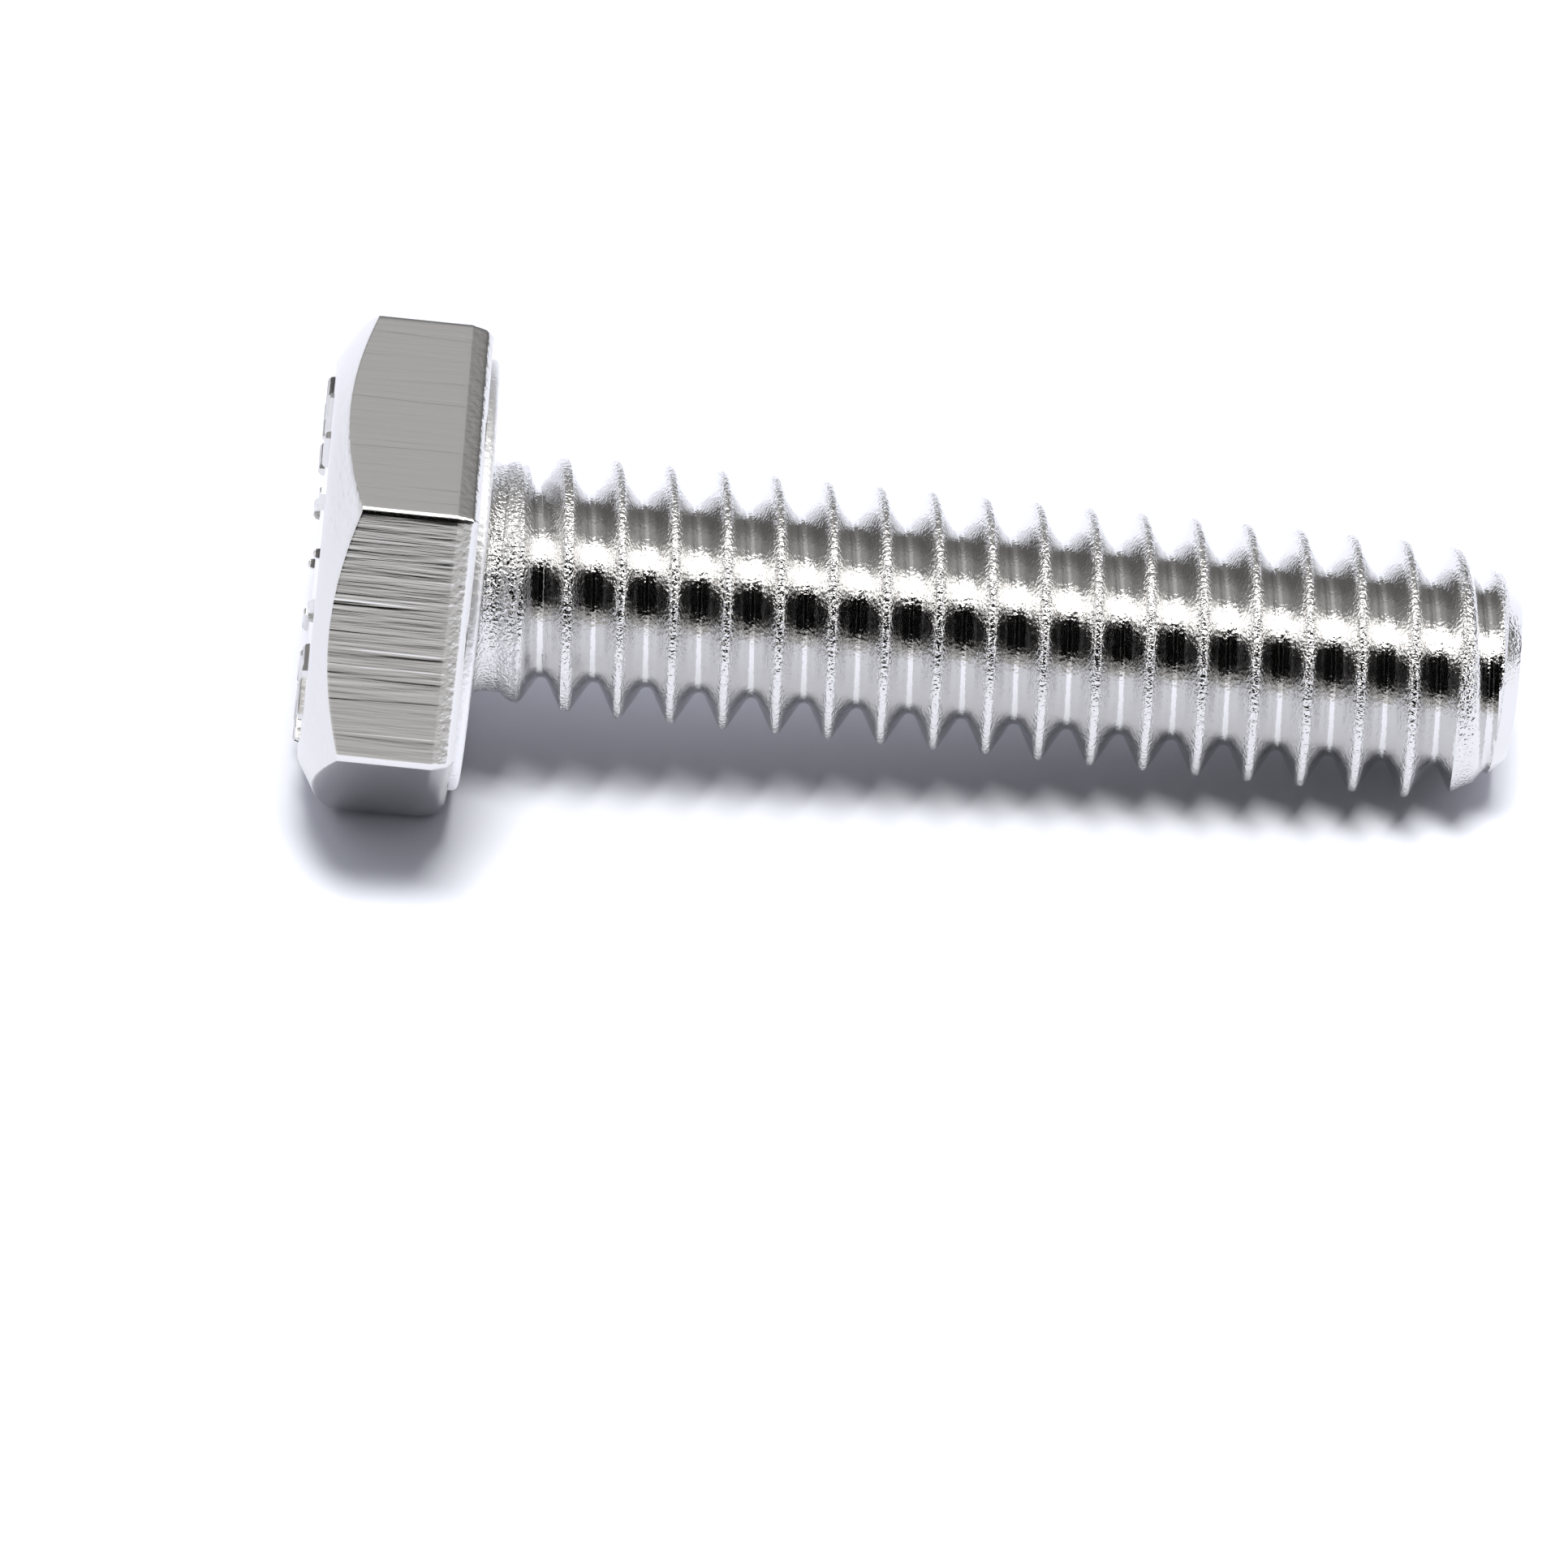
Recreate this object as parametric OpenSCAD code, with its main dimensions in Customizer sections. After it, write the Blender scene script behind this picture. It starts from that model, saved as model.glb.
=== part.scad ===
// Hex bolt, fully threaded, 1/4-20 UNC x 1 in, plain stainless steel.
//
// Millimetres. The bolt lies along X with its head towards +X. The origin is on the bolt's axis in
// the plane of the bearing face, and two of the six flats face up and down. Each module draws its
// region upright, head up and with the bearing face at z = 0, and lay_along_x() lays it down.

/* [Head] */
// Width across two opposite flats
across_flats = 10.88; // [10.87:0.01:11.13]
// Width across the rounded corners of the hexagon
across_corners = 12.5; // [12.1:0.05:12.55]
// Height of the head, with the washer face
head_height = 3.9; // [3.81:0.01:4.14]
// Slope of the chamfer round the top of the head
chamfer_angle = 31; // [15:1:35]
// Diameter of the flat circle that the chamfer leaves on top
top_circle_d = 9.6; // [9:0.1:10.6]
// Height of the rolled edge where the flats meet the underside
rolled_edge_height = 0.5; // [0.2:0.05:0.6]
// How far the rolled edge draws in at the underside
rolled_edge_inset = 0.2; // [0.1:0.05:0.3]

/* [Washer face] */
// Diameter of the raised round face under the head
washer_face_d = 10.4; // [9.9:0.1:10.6]
// How far it stands below the hexagon
washer_face_height = 0.25; // [0.2:0.05:0.4]

/* [Head marks] */
// Number of plain raised bars in a ring on top of the head
mark_count = 18; // [3:1:24]
// Diameter of the ring of bars
mark_ring_d = 8.2; // [6:0.1:8.6]
// Length of one bar, out from the axis
mark_length = 0.7; // [0.6:0.1:1.4]
// Width of one bar
mark_width = 0.24; // [0.2:0.02:0.5]
// How far the bars stand above the head
mark_height = 0.15; // [0.05:0.05:0.3]

/* [Shank] */
// Length under the head, from the bearing face to the end of the point
length_under_head = 25; // [12:0.05:50]
// Length of the plain neck between the bearing face and the first thread
neck_length = 0.5; // [0.45:0.05:1.2]
// Diameter of the neck, the blank that the thread is rolled on
neck_d = 5.5; // [5.3:0.05:5.6]
// Radius of the fillet between the neck and the head
fillet_radius = 0.4; // [0.3:0.05:0.45]
// Length of the plain cone at the very end of the point
point_length = 0.35; // [0.2:0.05:0.5]
// Diameter of the flat end
point_end_d = 4.2; // [4:0.1:4.6]

/* [Thread] */
// Diameter over the crests
major_d = 6.18; // [6.12:0.01:6.32]
// Diameter at the roots
minor_d = 4.72; // [4.7:0.01:4.9]
// Distance from crest to crest, 20 to the inch
pitch = 1.27; // [1:0.01:1.5]
// Width of the flat on each crest
crest_width = 0.17; // [0.1:0.01:0.2]
// Width of the floor of each groove
root_width = 0.2; // [0.16:0.01:0.3]
// Turns the thread about the bolt's axis, in degrees
start_angle = 217; // [0:1:360]
// Straight facets in one turn of the thread
facets_per_turn = 36; // [12:1:48]

/* [Hidden] */
$fn = 96;

corner_r = across_corners / 2;
crest_r = major_d / 2;
root_r = minor_d / 2;
neck_r = neck_d / 2;

// The fillet leaves the neck and meets the bearing face at this radius.
fillet_top_r = neck_r + fillet_radius;

// Top and bottom of the threaded region. It has no chamfer of its own past these planes.
thread_top = -neck_length;
thread_bottom = -(length_under_head - point_length);

// Slopes of the cones that shape the thread's ends. The run-out cone trims the first crest down to
// the neck, the fill cone makes the first groove shallow, and the point's cone trims the last turn.
run_out_slope = tan(60);
fill_slope = 0.3;
point_slope = (root_r - point_end_d / 2) / point_length;

// One pitch of the thread's outline: a share of the pitch and the radius there. The crest is
// centred on 0 and the groove on 0.5.
thread_outline = [
    [-crest_width / 2 / pitch, crest_r],
    [crest_width / 2 / pitch, crest_r],
    [0.5 - root_width / 2 / pitch, root_r],
    [0.5 + root_width / 2 / pitch, root_r]
];
outline_points = len(thread_outline);

// Each line of points along the thread starts a whole pitch early and ends a whole pitch late.
turns_drawn = ceil((thread_top - thread_bottom) / pitch) + 3;
points_per_line = outline_points * turns_drawn;

// A point of the thread that comes closer than this to an end face moves into it.
end_margin = pitch / 100;

module lay_along_x() {
    rotate([0, 90, 0]) children();
}

// Two opposite flats and their rolled lower edges, as one long bar.
module pair_of_flats() {
    flat_r = across_flats / 2;
    low_r = flat_r - rolled_edge_inset;
    shoulder = washer_face_height + rolled_edge_height;
    rotate([90, 0, 0])
        linear_extrude(height = 2 * across_corners, center = true)
            polygon([
                [-low_r, washer_face_height],
                [low_r, washer_face_height],
                [flat_r, shoulder],
                [flat_r, head_height],
                [-flat_r, head_height],
                [-flat_r, shoulder]
            ]);
}

// The hexagon: six flats, rounded corners and the chamfer on top.
module hex_head() {
    top_r = top_circle_d / 2;
    chamfer_drop = (corner_r - top_r) * tan(chamfer_angle);
    color("silver")
        lay_along_x()
            intersection() {
                intersection_for(turn = [0, 60, 120]) rotate([0, 0, turn]) pair_of_flats();
                rotate_extrude()
                    polygon([
                        [0, washer_face_height],
                        [corner_r, washer_face_height],
                        [corner_r, head_height - chamfer_drop],
                        [top_r, head_height],
                        [0, head_height]
                    ]);
            }
}

// The thin round face that bears on the work, a ring round the top of the neck.
module washer_face() {
    color("gainsboro")
        lay_along_x()
            rotate_extrude()
                translate([fillet_top_r, 0])
                    square([washer_face_d / 2 - fillet_top_r, washer_face_height]);
}

// A ring of plain raised bars on top of the head, where a real one carries its forged marks.
module head_marks() {
    color("lightgray")
        lay_along_x()
            for (mark = [0:mark_count - 1])
                rotate([0, 0, 360 * (mark + 0.5) / mark_count])
                    translate([(mark_ring_d - mark_length) / 2, -mark_width / 2, head_height])
                        cube([mark_length, mark_width, mark_height]);
}

// The short plain neck. Its fillet flares through the washer face up to the hexagon.
module neck() {
    color("darkgray")
        lay_along_x()
            rotate_extrude() {
                polygon([
                    [0, thread_top],
                    [neck_r, thread_top],
                    [neck_r, 0],
                    [fillet_top_r, 0],
                    [fillet_top_r, washer_face_height],
                    [0, washer_face_height]
                ]);
                difference() {
                    translate([0, -fillet_radius]) square([fillet_top_r, fillet_radius]);
                    translate([fillet_top_r, -fillet_radius]) circle(fillet_radius);
                }
            }
}

// Height of one point of the thread. Line 0 to facets_per_turn runs once round the bolt, and
// climbs one pitch on the way, which makes the thread right-handed.
function thread_height(line, point) =
    thread_bottom
    + pitch * (floor(point / outline_points) - 1)
    + pitch * thread_outline[point % outline_points][0]
    + pitch * line / facets_per_turn;

// The smallest and the largest radius that the cones leave at a height.
function filled_radius(height) = neck_r - fill_slope * (thread_top - height);
function trimmed_radius(height) =
    min(
        neck_r + run_out_slope * (thread_top - height),
        root_r + point_slope * (height - thread_bottom)
    );

function thread_radius(line, point) =
    let (height = thread_height(line, point))
    min(
        max(thread_outline[point % outline_points][1], filled_radius(height)),
        trimmed_radius(height)
    );

// The last point of a line that is still below the threaded region, and the first one above it.
// These two lie in the end faces, on the rim.
function points_below(line, height) =
    len([
        for (point = [0:points_per_line - 1])
            if (thread_height(line, point) < height) point
    ]);
lowest = [
    for (line = [0:facets_per_turn - 1]) points_below(line, thread_bottom + end_margin) - 1
];
highest = [
    for (line = [0:facets_per_turn - 1]) points_below(line, thread_top - end_margin)
];

function thread_point(line, point) =
    let (
        angle = start_angle + 360 * line / facets_per_turn,
        below = point <= lowest[line],
        above = point >= highest[line],
        radius = below ? root_r : above ? neck_r : thread_radius(line, point),
        height = below ? thread_bottom : above ? thread_top : thread_height(line, point)
    )
    [radius * cos(angle), radius * sin(angle), height];

// Where a point stands in the list of all points. Points past an end count as the rim's point.
// After a full turn the thread has climbed one outline, so the last line meets the first one
// that many points further up.
function thread_index(line, point) =
    line == facets_per_turn
        ? thread_index(0, point + outline_points)
        : line * points_per_line + max(lowest[line], min(highest[line], point));

// The threaded region: one closed skin, wound right-handed, with a flat face at each end. A
// triangle that has two corners in one place is left out.
module threaded_shank() {
    lines = [0:facets_per_turn - 1];
    skin_points = [
        for (line = lines, point = [0:points_per_line - 1]) thread_point(line, point)
    ];
    sides = [
        for (line = lines, point = [0:points_per_line - 2])
            let (
                near_low = thread_index(line, point),
                near_high = thread_index(line, point + 1),
                far_low = thread_index(line + 1, point),
                far_high = thread_index(line + 1, point + 1)
            )
            each [
                if (near_low != near_high) [near_low, near_high, far_low],
                if (far_low != far_high) [near_high, far_high, far_low]
            ]
    ];
    bottom_face = [for (line = lines) thread_index(line, 0)];
    top_face = [for (line = lines) thread_index(facets_per_turn - 1 - line, points_per_line - 1)];
    color("slategray")
        lay_along_x()
            polyhedron(points = skin_points, faces = concat(sides, [bottom_face, top_face]));
}

// The plain end of the point, below the thread's root, with the bolt's flat end.
module chamfered_point() {
    color("lightsteelblue")
        lay_along_x()
            translate([0, 0, -length_under_head])
                cylinder(h = point_length, r1 = point_end_d / 2, r2 = root_r);
}

hex_head();
washer_face();
head_marks();
neck();
threaded_shank();
chamfered_point();
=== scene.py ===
import math

import bmesh
import bpy
import numpy as np
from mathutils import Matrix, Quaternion, Vector


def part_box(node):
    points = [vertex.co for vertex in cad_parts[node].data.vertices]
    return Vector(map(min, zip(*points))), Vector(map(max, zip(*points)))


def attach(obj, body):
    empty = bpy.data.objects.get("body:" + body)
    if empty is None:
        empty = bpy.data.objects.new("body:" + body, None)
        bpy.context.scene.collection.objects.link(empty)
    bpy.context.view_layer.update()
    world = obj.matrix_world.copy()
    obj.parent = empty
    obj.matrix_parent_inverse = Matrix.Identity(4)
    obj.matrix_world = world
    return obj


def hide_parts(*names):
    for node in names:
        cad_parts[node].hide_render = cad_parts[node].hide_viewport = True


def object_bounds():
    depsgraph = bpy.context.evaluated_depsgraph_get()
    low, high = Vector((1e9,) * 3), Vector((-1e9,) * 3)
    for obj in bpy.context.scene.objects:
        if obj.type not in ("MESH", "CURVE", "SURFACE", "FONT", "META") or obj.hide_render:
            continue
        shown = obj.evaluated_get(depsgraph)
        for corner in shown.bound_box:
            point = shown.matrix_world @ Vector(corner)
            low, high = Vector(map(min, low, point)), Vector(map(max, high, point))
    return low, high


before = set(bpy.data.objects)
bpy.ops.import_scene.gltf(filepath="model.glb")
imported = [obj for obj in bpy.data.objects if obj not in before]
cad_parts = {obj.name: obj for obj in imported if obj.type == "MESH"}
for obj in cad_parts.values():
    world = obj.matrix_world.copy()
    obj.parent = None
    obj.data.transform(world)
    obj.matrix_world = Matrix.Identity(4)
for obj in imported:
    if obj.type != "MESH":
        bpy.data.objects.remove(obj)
cad_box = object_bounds()

# Lengths below are in millimetres, in the frame of the CAD model: the bolt lies along X, its head
# towards +X, and X = 0 is the plane of the bearing face. Meshes are scaled to metres when made.
MM = 0.001


def box_mm(node):
    """Lowest and highest corner of a CAD node, in millimetres."""
    low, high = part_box(node)
    return low / MM, high / MM


head_low, head_high = box_mm("hex_head")
washer_low, washer_high = box_mm("washer_face")
point_low = box_mm("chamfered_point")[0]

# ---------------------------------------------------------------- camera
CAMERA_AZIMUTH = 175.68
CAMERA_ELEVATION = 48.86
CAMERA_ROLL = 8.95
CAMERA_DISTANCE = 314.2
CAMERA_LENS = 300.0
# How far the picture's centre lies from the middle of the bolt, along the picture's two sides.
AIM_RIGHT = -3.08
AIM_UP = -3.97


def make_camera():
    """A long lens above the bolt's side, level with nothing: it leans by its roll angle."""
    azimuth, elevation = math.radians(CAMERA_AZIMUTH), math.radians(CAMERA_ELEVATION)
    back = Vector((
        math.sin(azimuth) * math.cos(elevation),
        -math.cos(azimuth) * math.cos(elevation),
        math.sin(elevation),
    ))
    turn = (-back).to_track_quat("-Z", "Y") @ Quaternion((0, 0, 1), math.radians(CAMERA_ROLL))
    middle = (cad_box[0] + cad_box[1]) / 2
    aim = middle + turn @ Vector((AIM_RIGHT, AIM_UP, 0)) * MM
    data = bpy.data.cameras.new("camera")
    data.lens = CAMERA_LENS
    data.clip_start = 0.01
    data.clip_end = 10
    camera = bpy.data.objects.new("camera", data)
    camera.location = aim + back * CAMERA_DISTANCE * MM
    camera.rotation_mode = "QUATERNION"
    camera.rotation_quaternion = turn
    bpy.context.scene.collection.objects.link(camera)
    bpy.context.scene.camera = camera


make_camera()

# ---------------------------------------------------------------- dimensions
FLAT_R = head_high.z
HEAD_TOP = head_high.x
HEX_BOTTOM = head_low.x
CORNER_ROUNDING = 0.25
TOP_CIRCLE_R = 4.8
CHAMFER_SLOPE = 0.608
EDGE_ROUNDING = 0.06
# Rows of points on the head's top, chamfer and underside, as shares of the way outwards.
TOP_SHARES = (0.02, 0.3, 0.6, 0.8, 0.93)
CHAMFER_SHARES = (0.12, 0.35, 0.6, 0.82)
UNDERSIDE_SHARES = (0.9, 0.6, 0.3, 0.02)
# Rounded edges: how far each row lies inside the edge, and how far below it. The top circle's are
# lengths, and the chamfer's are shares of the rounding.
TOP_CIRCLE_EDGE = ((EDGE_ROUNDING, 0), (0.4 * EDGE_ROUNDING, 0.004))
CHAMFER_EDGE = ((0.5, -0.5 * CHAMFER_SLOPE), (0.12, 0.05), (0.0, 0.45), (0.0, 1.0))
FLAT_ROWS = 14
ROLL_LENGTH = 0.53
ROLL_INSET = 0.26
# The rolled edge: share of its length against share of its inset.
ROLL_PROFILE = [
    (0.03, 0.008), (0.07, 0.03), (0.3, 0.155), (0.5, 0.265), (0.64, 0.345), (0.69, 0.385),
    (0.75, 0.47), (0.88, 0.73), (1.0, 1.0),
]

WASHER_R = washer_high.y
WASHER_EDGE = 0.16

MARK_COUNT = 18
MARK_INNER_R = 3.4
MARK_HALF_WIDTH = 0.12

PITCH = 1.27
CREST_R = 3.09
CREST_HALF = 0.07
CREST_ROUNDING = 0.025
FLANK_TAN = math.tan(math.radians(30))
ROOT_ROUNDING = 0.16
# A crest stands at this X on the +Y side, and at every pitch from there.
CREST_PHASE = -3.508
NECK_R = 2.74
NECK_FILLET = 0.4
THREAD_START = -0.42
TIP = point_low.x
POINT_LENGTH = 0.37
POINT_R = 2.33
POINT_END_R = 2.05
POINT_EDGE = 0.06
# Half the thread's outline: distances from a crest at which it has points.
HALF_STATIONS = [0.03, 0.075, 0.1, 0.2, 0.33, 0.453, 0.505, 0.55, 0.595]
# Largest radius along the bolt, as (x, radius): a rounded chamfer at the point, and the run-out
# under the head.
CREST_LIMIT = [
    (TIP + POINT_LENGTH, POINT_R), (TIP + 0.46, 2.5), (TIP + 0.8, 2.63), (TIP + 1.15, 2.82),
    (TIP + 1.35, 2.92), (TIP + 1.7, 3.03), (TIP + 2.3, CREST_R), (-3.2, CREST_R), (-1.9, 3.02),
    (-1.15, 2.97), (-0.85, 2.85), (-0.5, 2.8), (THREAD_START, NECK_R),
]
# Crests are pitted up to PITTED_GAP from their middle, and worn down up to WEAR_GAP from it.
PITTED_GAP = 0.25
PITTED_FADE = 0.17
PITTED_POWER = 1.3
WEAR_GAP = 0.14
WEAR_DEPTH = 0.02
WEAR_SEED = 7
# Where the chamfer or the run-out cuts a crest off, the cut is pitted too.
CUT_FADE = 0.06
# The neck, and the thread from this X towards it, are pitted all round.
NECK_PITTING = 0.9
NECK_PITTING_FROM = -1.25
NECK_PITTING_FADE = 0.3

FLAT_COLUMNS = 72
CORNER_COLUMNS = 9
ROUND_COLUMNS = 240


# ---------------------------------------------------------------- mesh helpers
def add_piece(name, points, faces, nodes, smooth_angle=30, pitting=None):
    """Makes a mesh piece from points in millimetres, and lets it stand for CAD nodes. Pitting is
    how rough the surface is at each point, from 0 to 1."""
    mesh = bpy.data.meshes.new(name)
    mesh.from_pydata([tuple(p) for p in np.asarray(points) * MM], [], faces)
    if pitting is not None:
        mesh.attributes.new("pitting", "FLOAT", "POINT").data.foreach_set("value", pitting)
    work = bmesh.new()
    work.from_mesh(mesh)
    bmesh.ops.remove_doubles(work, verts=work.verts, dist=1e-7)
    bmesh.ops.recalc_face_normals(work, faces=work.faces)
    work.to_mesh(mesh)
    work.free()
    mesh.polygons.foreach_set("use_smooth", [True] * len(mesh.polygons))
    mesh.set_sharp_from_angle(angle=math.radians(smooth_angle))
    piece = bpy.data.objects.new(name, mesh)
    bpy.context.scene.collection.objects.link(piece)
    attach(piece, "root")
    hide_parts(*nodes)
    return piece


def ring_faces(rows, columns):
    """Quads of a closed tube of points, row after row, with a flat face at each end."""
    faces = []
    for row in range(rows - 1):
        for column in range(columns):
            beside = (column + 1) % columns
            low, high = row * columns, (row + 1) * columns
            faces.append((low + column, low + beside, high + beside, high + column))
    faces.append(tuple(range(columns)))
    faces.append(tuple(range((rows - 1) * columns, rows * columns)))
    return faces


def turned(profile, columns=ROUND_COLUMNS):
    """Points of a body of revolution about the bolt's axis, from (x, radius) pairs."""
    angles = np.arange(columns) * 2 * math.pi / columns
    return np.concatenate([
        np.stack([np.full(columns, x), r * np.cos(angles), r * np.sin(angles)], axis=1)
        for x, r in profile
    ])


def arc(centre, radius, start, end, count):
    """Points (x, radius) of an arc in a profile, between two angles in degrees."""
    return [
        (
            centre[0] + radius * math.cos(math.radians(a)),
            centre[1] + radius * math.sin(math.radians(a)),
        )
        for a in np.linspace(start, end, count)
    ]


# ---------------------------------------------------------------- head
def hexagon_columns():
    """Outline of the hexagon: for each column its point, its outward normal, its flat and the
    distance along that flat (no flat, -1, on the rounded corners)."""
    half = (FLAT_R - CORNER_ROUNDING) * math.tan(math.radians(30))
    corner_r = (FLAT_R - CORNER_ROUNDING) / math.cos(math.radians(30))
    outline = []
    for flat in range(6):
        facing = math.radians(90 + 60 * flat)
        normal = np.array([math.cos(facing), math.sin(facing)])
        along = np.array([-normal[1], normal[0]])
        for t in np.linspace(-half, half, FLAT_COLUMNS):
            outline.append((normal * FLAT_R + along * t, normal, flat, t))
        corner = corner_r * np.array([
            math.cos(facing + math.radians(30)), math.sin(facing + math.radians(30))
        ])
        for step in range(1, CORNER_COLUMNS):
            angle = facing + math.radians(60 * step / CORNER_COLUMNS)
            normal = np.array([math.cos(angle), math.sin(angle)])
            outline.append((corner + normal * CORNER_ROUNDING, normal, -1, 0.0))
    return outline


def make_head():
    """The chamfered hexagon. Every column of points runs from the top's middle, over the chamfer,
    down the flat and round the rolled edge, so that the chamfer's curved edge is a clean line."""
    outline = hexagon_columns()
    points = np.array([c[0] for c in outline])
    normals = np.array([c[1] for c in outline])
    radius = np.linalg.norm(points, axis=1)
    outward = points / radius[:, None]
    edge_x = HEAD_TOP - (radius - TOP_CIRCLE_R) * CHAMFER_SLOPE
    rows = []

    def add_row(x, yz):
        rows.append(np.column_stack([np.broadcast_to(x, len(outline)), yz]))

    for share in TOP_SHARES:
        add_row(HEAD_TOP, outward * TOP_CIRCLE_R * share)
    for inset, drop in TOP_CIRCLE_EDGE:
        add_row(HEAD_TOP - drop, outward * (TOP_CIRCLE_R - inset))
    for share in CHAMFER_SHARES:
        r = TOP_CIRCLE_R + (radius - TOP_CIRCLE_R) * share
        add_row(HEAD_TOP - (r - TOP_CIRCLE_R) * CHAMFER_SLOPE, outward * r[:, None])
    for inset, drop in CHAMFER_EDGE:
        add_row(edge_x - drop * EDGE_ROUNDING, points - outward * inset * EDGE_ROUNDING)
    roll_top = HEX_BOTTOM + ROLL_LENGTH
    top = edge_x - EDGE_ROUNDING
    for share in np.linspace(0, 1, FLAT_ROWS + 1)[1:]:
        add_row(top + (roll_top - top) * share, points)
    for share, sink in ROLL_PROFILE:
        add_row(roll_top - ROLL_LENGTH * share, points - normals * sink * ROLL_INSET)
    for share in UNDERSIDE_SHARES:
        add_row(HEX_BOTTOM, outward * (radius[:, None] - ROLL_INSET) * share)
    faces = ring_faces(len(rows), len(outline))
    return add_piece("hex_head_forging", np.concatenate(rows), faces, ["hex_head"])


def make_washer_face():
    """The thin round face under the head, with softly rounded edges."""
    inner_r = NECK_R + NECK_FILLET
    low = washer_low.x
    profile = [(HEX_BOTTOM, inner_r), (low, inner_r), (low, WASHER_R - 2 * WASHER_EDGE)]
    profile += arc((low + WASHER_EDGE, WASHER_R - WASHER_EDGE), WASHER_EDGE, 180, 90, 5)
    profile += [(HEX_BOTTOM, WASHER_R), (HEX_BOTTOM, inner_r)]
    # The profile closes on itself, so the ring has no end faces.
    faces = ring_faces(len(profile), ROUND_COLUMNS)[:-2]
    return add_piece("washer_face_ring", turned(profile), faces, ["washer_face"])


def make_head_marks():
    """A ring of plain raised bars on top of the head."""
    low, high = box_mm("head_marks")
    outer_r = high.y
    height = high.x - low.x
    points, faces = [], []
    for mark in range(MARK_COUNT):
        angle = 2 * math.pi * (mark + 0.5) / MARK_COUNT
        out = np.array([math.cos(angle), math.sin(angle)])
        side = np.array([-out[1], out[0]])
        first = len(points)
        # Each bar leans in towards its top, and stands a little way inside the head.
        for lift, inset in ((-0.02, 0.0), (0.6 * height, 0.02), (height, 0.07)):
            near, far = MARK_INNER_R + inset, outer_r - inset
            for r, w in ((near, -1), (far, -1), (far, 1), (near, 1)):
                yz = out * r + side * w * (MARK_HALF_WIDTH - inset)
                points.append((low.x + lift, yz[0], yz[1]))
        for level in range(2):
            for k in range(4):
                a = first + 4 * level + k
                b = first + 4 * level + (k + 1) % 4
                faces.append((a, b, b + 4, a + 4))
        faces.append((first, first + 1, first + 2, first + 3))
        faces.append((first + 8, first + 9, first + 10, first + 11))
    return add_piece("head_mark_bars", points, faces, ["head_marks"], 60)


# ---------------------------------------------------------------- shank
def make_neck():
    """The plain neck and its fillet, closed inside the head."""
    profile = [(HEX_BOTTOM, NECK_R + NECK_FILLET), (0, NECK_R + NECK_FILLET)]
    profile += arc((-NECK_FILLET, NECK_R + NECK_FILLET), NECK_FILLET, 0, -90, 10)[1:]
    profile += [(THREAD_START, NECK_R)]
    points = turned(profile)
    faces = ring_faces(len(profile), ROUND_COLUMNS)
    pitting = np.full(len(points), NECK_PITTING)
    return add_piece("neck_fillet", points, faces, ["neck"], 30, pitting)


def outline_depth(gap):
    """Depth below the crest at a distance along the bolt from the nearest crest."""
    root_x = PITCH / 2
    arc_half = ROOT_ROUNDING * math.cos(math.radians(30))
    flank_end = root_x - arc_half
    bottom = (flank_end - CREST_HALF) / FLANK_TAN + ROOT_ROUNDING / 2
    beyond = gap - CREST_HALF
    rounded = (beyond + np.sqrt(beyond ** 2 + CREST_ROUNDING ** 2)) / 2
    flank = (rounded - CREST_ROUNDING ** 2 / CREST_HALF / 4) / FLANK_TAN
    from_root = np.minimum(np.abs(root_x - gap), ROOT_ROUNDING)
    root = bottom - ROOT_ROUNDING + np.sqrt(ROOT_ROUNDING ** 2 - from_root ** 2)
    return np.where(gap < flank_end, flank, root)


def thread_stations():
    """Distances from a crest, over one pitch, at which the outline has points."""
    return np.array([-x for x in reversed(HALF_STATIONS)] + [0.0] + HALF_STATIONS + [PITCH / 2])


def crest_limit(x):
    """Largest radius along the bolt: run-out under the head, rounded chamfer at the point."""
    return np.interp(x, *zip(*CREST_LIMIT))


def root_fill(x):
    """Smallest radius along the bolt: the first groove is shallow and fades into the neck."""
    root_r = CREST_R - outline_depth(np.array(PITCH / 2))
    limit = [
        (TIP + POINT_LENGTH, POINT_R), (TIP + 0.5, root_r), (-2.2, root_r), (-1.12, root_r + 0.02),
        (-0.95, 2.75), (THREAD_START, NECK_R),
    ]
    return np.interp(x, *zip(*limit))


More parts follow.
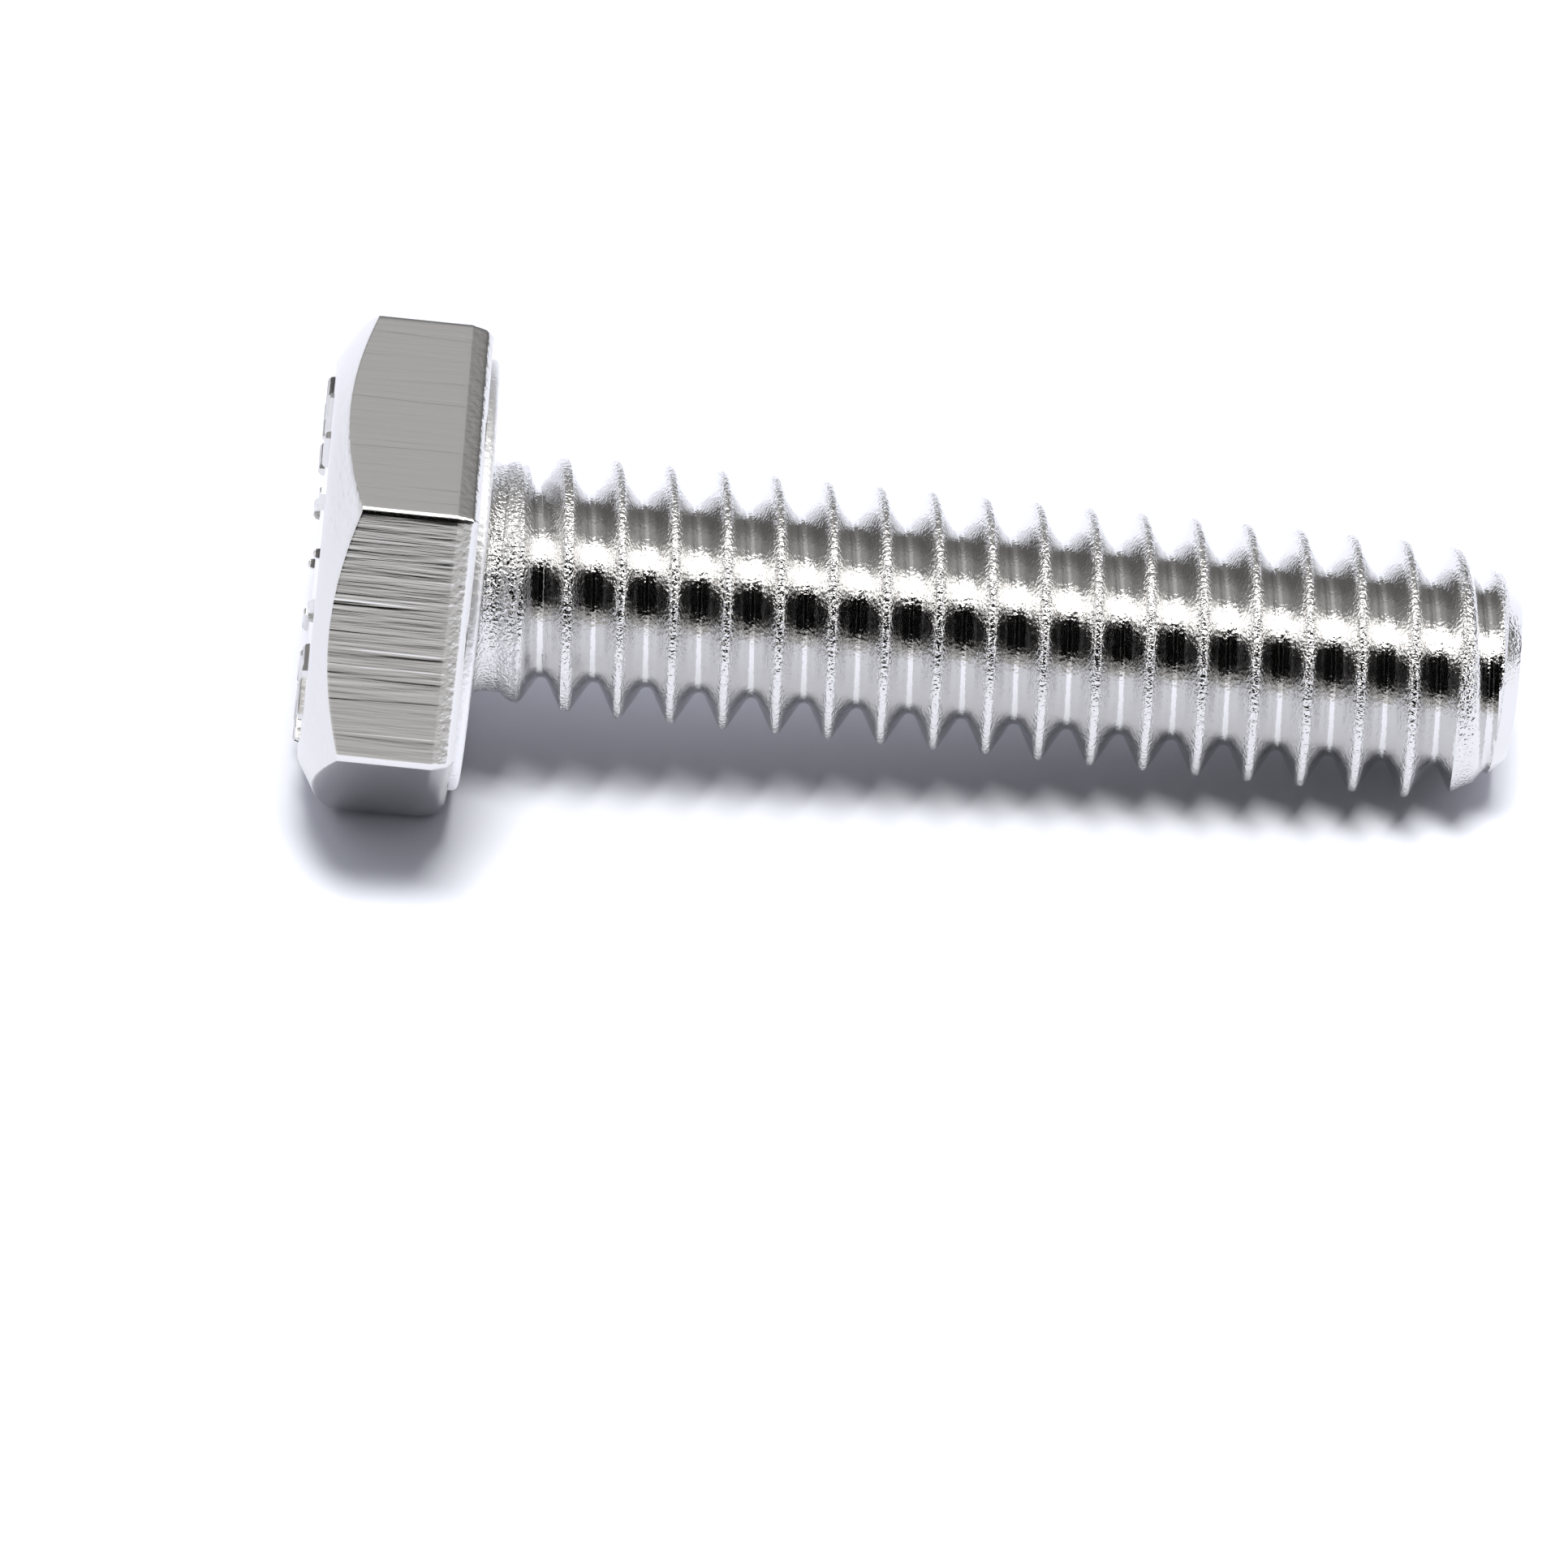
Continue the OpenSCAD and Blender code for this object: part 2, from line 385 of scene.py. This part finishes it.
def make_thread():
    """The rolled thread: one right-hand helical skin with rounded roots."""
    stations = thread_stations()
    first_turn = math.floor((TIP - CREST_PHASE) / PITCH) - 1
    last_turn = math.ceil((THREAD_START - CREST_PHASE) / PITCH) + 1
    turns = np.arange(first_turn, last_turn + 1)
    along = (turns[:, None] * PITCH + stations[None, :]).ravel()
    gap = np.abs(np.tile(stations, len(turns)))
    count = len(along)
    rng = np.random.default_rng(WEAR_SEED)
    points = np.zeros((ROUND_COLUMNS, count, 3))
    pitting = np.zeros((ROUND_COLUMNS, count))
    end_low, end_high = TIP + POINT_LENGTH, THREAD_START
    for column in range(ROUND_COLUMNS):
        share = column / ROUND_COLUMNS
        angle = 2 * math.pi * share
        x = CREST_PHASE + PITCH * share + along
        r = np.maximum(CREST_R - outline_depth(gap), root_fill(x))
        limit = crest_limit(x)
        on_crest = np.clip((PITTED_GAP - gap) / PITTED_FADE, 0, 1) ** PITTED_POWER
        on_cut = np.clip((r - limit) / CUT_FADE, 0, 1)
        near_head = np.clip((x - NECK_PITTING_FROM) / NECK_PITTING_FADE, 0, NECK_PITTING)
        pitting[column] = np.maximum(on_crest, np.maximum(on_cut, near_head))
        wear = np.clip(1 - gap / WEAR_GAP, 0, 1) * rng.uniform(0, WEAR_DEPTH, count)
        r = np.minimum(r, limit) - wear
        r = np.where(x <= end_low, POINT_R, np.where(x >= end_high, NECK_R, r))
        x = np.clip(x, end_low, end_high)
        points[column] = np.column_stack([x, r * math.cos(angle), r * math.sin(angle)])
    faces = []
    for column in range(ROUND_COLUMNS):
        beside = (column + 1) % ROUND_COLUMNS
        # Once round the bolt, the helix has moved on by one pitch.
        shift = len(stations) if beside == 0 else 0
        near, far = column * count, beside * count
        for i in range(count - 1):
            j = i + shift
            corners = (near + i, near + i + 1, far + min(j + 1, count - 1), far + min(j, count - 1))
            faces.append(corners)
    flat = points.reshape(-1, 3)
    faces = clean_faces(flat, faces)
    faces.append([c * count for c in range(ROUND_COLUMNS)])
    faces.append([c * count + count - 1 for c in range(ROUND_COLUMNS)])
    return add_piece(
        "rolled_thread", flat, faces, ["threaded_shank"], 50, pitting.ravel()
    )


def clean_faces(points, faces):
    """Drops corners that lie on top of their neighbour, and faces with fewer than three left."""
    keys = [tuple(p) for p in np.round(points, 6)]
    kept = []
    for face in faces:
        corners = []
        for corner in face:
            if not corners or keys[corner] != keys[corners[-1]]:
                corners.append(corner)
        if len(corners) > 1 and keys[corners[0]] == keys[corners[-1]]:
            corners.pop()
        if len(corners) > 2:
            kept.append(corners)
    return kept


def make_point():
    """The plain end: a short cone and a flat end with a softened edge."""
    profile = [(TIP + POINT_LENGTH, POINT_R)]
    profile += arc((TIP + POINT_EDGE, POINT_END_R - POINT_EDGE), POINT_EDGE, 132, 180, 5)
    profile += [(TIP, POINT_END_R - 4 * POINT_EDGE), (TIP, 0.05)]
    faces = ring_faces(len(profile), ROUND_COLUMNS)
    return add_piece("point_end_cone", turned(profile), faces, ["chamfered_point"])


# ---------------------------------------------------------------- node helper
class Tree:
    """Adds shader nodes to a node tree. Each call returns the new node."""

    def __init__(self, tree):
        self.tree = tree
        self.tree.nodes.clear()

    def add(self, kind, inputs=None, **settings):
        node = self.tree.nodes.new(kind)
        for name, value in settings.items():
            setattr(node, name, value)
        for name, value in (inputs or {}).items():
            self.set(node, name, value)
        return node

    def set(self, node, name, value):
        if isinstance(value, bpy.types.NodeSocket):
            self.tree.links.new(value, node.inputs[name])
        else:
            node.inputs[name].default_value = value

    def math(self, operation, a, b=0.0, c=0.0):
        node = self.add("ShaderNodeMath", {0: a, 1: b, 2: c}, operation=operation)
        return node.outputs[0]

    def smooth(self, value, low, high, to_low=0.0, to_high=1.0):
        """A smooth step of value, from to_low at low to to_high at high."""
        node = self.add(
            "ShaderNodeMapRange",
            {"Value": value, "From Min": low, "From Max": high, "To Min": to_low, "To Max": to_high},
            interpolation_type="SMOOTHSTEP",
        )
        return node.outputs["Result"]

    def noise(self, place, scale, detail):
        """Noise with scale features to each unit of place."""
        node = self.add("ShaderNodeTexNoise", {"Vector": place, "Scale": scale, "Detail": detail})
        return node.outputs[0]

    def stretched(self, place, scale):
        """Coordinates multiplied along each axis, for noise drawn out into lines."""
        return self.add("ShaderNodeMapping", {"Vector": place, "Scale": scale}).outputs[0]

    def bump(self, shader, height, depth):
        """Gives a surface relief as deep as depth, in metres."""
        node = self.add("ShaderNodeBump", {"Height": height, "Strength": 1.0, "Distance": depth})
        self.set(shader, "Normal", node.outputs[0])


# Reflectance of the steel: on the thread and the flats, where it is as forged, and on the washer face.
STEEL_COLOR = (0.66, 0.655, 0.65)
FORGED_COLOR = (0.61, 0.605, 0.6)
SCALED_COLOR = (0.82, 0.82, 0.83)
# Relief in metres: flanks of the thread, pitted crests, lines on the flats, forged and washer face.
FLANK_RELIEF = 12e-6
PITTED_RELIEF = 60e-6
LINE_RELIEF = 11e-6
FORGED_RELIEF = 18e-6
SCALED_RELIEF = 30e-6
FLANK_ROUGHNESS = 0.09
PITTED_ROUGHNESS = 0.08


def steel(name, base, roughness):
    """A bare metal. Returns its material, node tree, surface shader and object coordinates."""
    material = bpy.data.materials.new(name)
    material.use_nodes = True
    tree = Tree(material.node_tree)
    shader = tree.add("ShaderNodeBsdfPrincipled", {
        "Base Color": (*base, 1),
        "Metallic": 1.0,
        "Roughness": roughness,
    })
    tree.add("ShaderNodeOutputMaterial", {"Surface": shader.outputs[0]})
    return material, tree, shader, tree.add("ShaderNodeTexCoord").outputs["Object"]


def thread_steel():
    """Bright rolled steel: smooth flanks with fine specks, and rough, pitted crests."""
    material, tree, shader, place = steel("thread_steel", STEEL_COLOR, FLANK_ROUGHNESS)
    pitting = tree.add("ShaderNodeAttribute", attribute_name="pitting").outputs["Fac"]
    roughness = tree.smooth(pitting, 0.0, 1.0, FLANK_ROUGHNESS, PITTED_ROUGHNESS)
    tree.set(shader, "Roughness", roughness)
    depth = tree.smooth(pitting, 0.0, 1.0, FLANK_RELIEF, PITTED_RELIEF)
    tree.bump(shader, tree.noise(place, 11500.0, 1.5), depth)
    return material


def trimmed_steel():
    """The flats of the head, with the fine lines that trimming leaves along the bolt, and a few
    deeper scores. The rolled edge near the bearing side has grain in place of lines."""
    material, tree, shader, place = steel("trimmed_steel", STEEL_COLOR, 0.16)
    lines = tree.noise(tree.stretched(place, (350.0, 8000.0, 8000.0)), 1.0, 3.0)
    scores = tree.noise(tree.stretched(place, (130.0, 3600.0, 3600.0)), 1.0, 1.0)
    deep = tree.smooth(scores, 0.56, 0.7)
    height = tree.math("SUBTRACT", lines, tree.math("MULTIPLY", deep, 0.5))
    parts = tree.add("ShaderNodeSeparateXYZ", {"Vector": place})
    # The lines are deepest near the upper edges of the slanting flats, and faint on top.
    depth = tree.math(
        "MULTIPLY",
        tree.smooth(parts.outputs["Z"], 0.5 * MM, 4.6 * MM, 0.45, 1.5),
        tree.smooth(parts.outputs["Z"], 5.2 * MM, 5.42 * MM, 1.0, 0.3),
    )
    height = tree.math("MULTIPLY", height, depth)
    grain = tree.noise(place, 6000.0, 2.0)
    above_roll = tree.smooth(parts.outputs["X"], 0.55 * MM, 0.95 * MM)
    blended = tree.add("ShaderNodeMix", {"Factor": above_roll, "A": grain, "B": height})
    tree.bump(shader, blended.outputs[0], LINE_RELIEF)
    return material


def grainy_steel(name, base, roughness, scale, detail, depth):
    """A dull, slightly uneven surface, with scale grains to the metre."""
    material, tree, shader, place = steel(name, base, roughness)
    tree.bump(shader, tree.noise(place, scale, detail), depth)
    return material


# ---------------------------------------------------------------- floor and light
FLOOR_COLOR = (0.4, 0.405, 0.425, 1)
FLOOR_REACH = 3000.0
FLOOR_GAP = 0.004
# The bolt rests on the crest this many turns from the one at CREST_PHASE.
RESTING_TURN = 15

# Angles across the bolt are in degrees: 0 is the horizon on +Y, where the viewer is, and 90 is
# straight up. A stop is an angle and the brightness there.
STUDIO_PEAK = 3.6
STUDIO_TINT = (1.0, 0.99, 0.975)
STUDIO_STOPS = [
    (0, 0.93), (9, 0.68), (15, 0.48), (19, 0.002), (72.5, 0.002), (75.5, STUDIO_PEAK),
    (102, STUDIO_PEAK), (107, 0.59), (134, 0.59), (142, 0.38), (156, 0.26), (180, 0.22),
]
AMBIENT_PEAK = 2.0
AMBIENT_TINT = (0.97, 0.98, 1.1)
AMBIENT_STOPS = [
    (0, 0.8), (18, 1.1), (25, 0.09), (70, 0.09), (80, AMBIENT_PEAK), (110, AMBIENT_PEAK),
    (120, 1.9), (180, 1.6),
]
FAR_SIDE_SHARE = 0.68
PANEL_COLOR = (0.1, 0.1, 0.102, 1)
WALL_COLOR = (0.95, 0.96, 1.0, 1)
WALL_STRENGTH = 0.95

KEY_POWER = 190
KEY_LENGTH = 1.0
KEY_WIDTH = 0.6
KEY_DISTANCE = 3
KEY_TOWARDS = Vector((0.05, 0.128, 0.988))


def make_floor():
    """A wide pale floor. The bolt rests on the edge of its head's lower flat and on a crest near its
    point, so the floor is tilted against the bolt's axis."""
    head_x = HEX_BOTTOM + ROLL_LENGTH
    crest_x = CREST_PHASE - PITCH / 4 - RESTING_TURN * PITCH
    slope = (FLAT_R - CREST_R) / (head_x - crest_x)
    corners = []
    for side_x, side_y in ((-1, -1), (1, -1), (1, 1), (-1, 1)):
        x, y = side_x * FLOOR_REACH, side_y * FLOOR_REACH
        z = -FLAT_R - FLOOR_GAP + slope * (head_x - x)
        corners.append((x * MM, y * MM, z * MM))
    mesh = bpy.data.meshes.new("floor")
    mesh.from_pydata(corners, [], [(0, 1, 2, 3)])
    floor = bpy.data.objects.new("floor", mesh)
    bpy.context.scene.collection.objects.link(floor)
    material = bpy.data.materials.new("floor_paper")
    material.use_nodes = True
    tree = Tree(material.node_tree)
    shader = tree.add("ShaderNodeBsdfDiffuse", {"Color": FLOOR_COLOR})
    tree.add("ShaderNodeOutputMaterial", {"Surface": shader.outputs[0]})
    mesh.materials.append(material)


def sky(tree, half_turns, brightest, tint, stops):
    """Light by direction across the bolt, between stops."""
    ramp = tree.add("ShaderNodeValToRGB", {"Fac": half_turns})
    elements = ramp.color_ramp.elements
    while len(elements) < len(stops):
        elements.new(0.5)
    for element, (angle, value) in zip(elements, stops):
        element.position = angle / 180
        element.color = tuple(value / brightest * part for part in tint) + (1,)
    return tree.add("ShaderNodeBackground", {"Color": ramp.outputs[0], "Strength": brightest})


def make_key():
    """A broad light nearly overhead. The bright area of the studio is what the steel shows of it, so
    the light itself isn't mirrored."""
    data = bpy.data.lights.new("key", "AREA")
    data.shape = "RECTANGLE"
    data.energy = KEY_POWER
    data.size = KEY_LENGTH
    data.size_y = KEY_WIDTH
    key = bpy.data.objects.new("key", data)
    key.location = KEY_TOWARDS * KEY_DISTANCE
    key.visible_glossy = False
    key.rotation_mode = "QUATERNION"
    key.rotation_quaternion = (-KEY_TOWARDS).to_track_quat("-Z", "Y")
    bpy.context.scene.collection.objects.link(key)


def make_studio():
    """Bright and dark areas round the bolt, which its steel mirrors. Matt surfaces get a softer
    light from the same directions, and the backdrop is plain white."""
    world = bpy.data.worlds.new("studio")
    world.use_nodes = True
    world.cycles.sampling_method = "NONE"
    bpy.context.scene.world = world
    tree = Tree(world.node_tree)
    way = tree.add("ShaderNodeTexCoord").outputs["Generated"]
    parts = tree.add("ShaderNodeSeparateXYZ", {"Vector": way})
    across = tree.math("ARCTAN2", parts.outputs["Z"], parts.outputs["Y"])
    half_turns = tree.math("DIVIDE", across, math.pi)
    # The studio is darker over the point's end of the bolt, on the far side only.
    studio = sky(tree, half_turns, STUDIO_PEAK, STUDIO_TINT, STUDIO_STOPS)
    behind = tree.smooth(across, math.radians(104), math.radians(112))
    fade = tree.smooth(parts.outputs["X"], -0.5, 0.0, FAR_SIDE_SHARE, 1.0)
    share = tree.math("ADD", 1.0, tree.math("MULTIPLY", behind, tree.math("SUBTRACT", fade, 1.0)))
    tree.set(studio, "Strength", tree.math("MULTIPLY", share, STUDIO_PEAK))
    # Grey panels break up the dark area at both ends of the bolt.
    slant = tree.math("ABSOLUTE", parts.outputs["X"])
    inner = tree.smooth(slant, 0.52, 0.6)
    outer = tree.smooth(slant, 0.7, 0.76, 1.0, 0.0)
    low = tree.smooth(across, math.radians(16), math.radians(22))
    high = tree.smooth(across, math.radians(66), math.radians(73), 1.0, 0.0)
    wide = tree.math("MULTIPLY", inner, outer)
    panels = tree.add("ShaderNodeMixShader", {
        0: tree.math("MULTIPLY", wide, tree.math("MULTIPLY", low, high)),
        1: studio.outputs[0],
        2: tree.add("ShaderNodeBackground", {"Color": PANEL_COLOR}).outputs[0],
    })
    # A bright wall stands at each end of the studio.
    wall = tree.add("ShaderNodeBackground", {"Color": WALL_COLOR, "Strength": WALL_STRENGTH})
    beside = tree.smooth(slant, 0.97, 0.99)
    room = tree.add("ShaderNodeMixShader", {0: beside, 1: panels.outputs[0], 2: wall.outputs[0]})
    ambient = sky(tree, half_turns, AMBIENT_PEAK, AMBIENT_TINT, AMBIENT_STOPS)
    backdrop = tree.add("ShaderNodeBackground", {"Color": (1, 1, 1, 1), "Strength": 1.0})
    path = tree.add("ShaderNodeLightPath")
    lit = tree.add("ShaderNodeMixShader", {
        0: tree.math("GREATER_THAN", path.outputs["Diffuse Depth"], 0.5),
        1: room.outputs[0],
        2: ambient.outputs[0],
    })
    surface = tree.add("ShaderNodeMixShader", {
        0: path.outputs["Is Camera Ray"],
        1: lit.outputs[0],
        2: backdrop.outputs[0],
    })
    tree.add("ShaderNodeOutputWorld", {"Surface": surface.outputs[0]})
    bpy.context.scene.view_settings.view_transform = "Standard"


head = make_head()
washer = make_washer_face()
marks = make_head_marks()
neck = make_neck()
thread = make_thread()
point = make_point()

trimmed = trimmed_steel()
forged = grainy_steel("forged_steel", FORGED_COLOR, 0.28, 4500.0, 3.0, FORGED_RELIEF)
rolled = thread_steel()
scaled = grainy_steel("scaled_steel", SCALED_COLOR, 0.5, 6000.0, 2.0, SCALED_RELIEF)
for piece, material in (
    (head, trimmed), (washer, scaled), (marks, forged), (neck, rolled), (thread, rolled),
    (point, rolled),
):
    piece.data.materials.clear()
    piece.data.materials.append(material)
# The top of the head, its chamfer and the underside keep the forged surface.
FORGED_NORMAL = 0.3
head.data.materials.append(forged)
for face in head.data.polygons:
    x = face.center.x / MM
    rolled_edge = HEX_BOTTOM + 0.01 < x < HEX_BOTTOM + ROLL_LENGTH
    if abs(face.normal.x) > FORGED_NORMAL and not rolled_edge:
        face.material_index = 1

make_floor()
make_key()
make_studio()
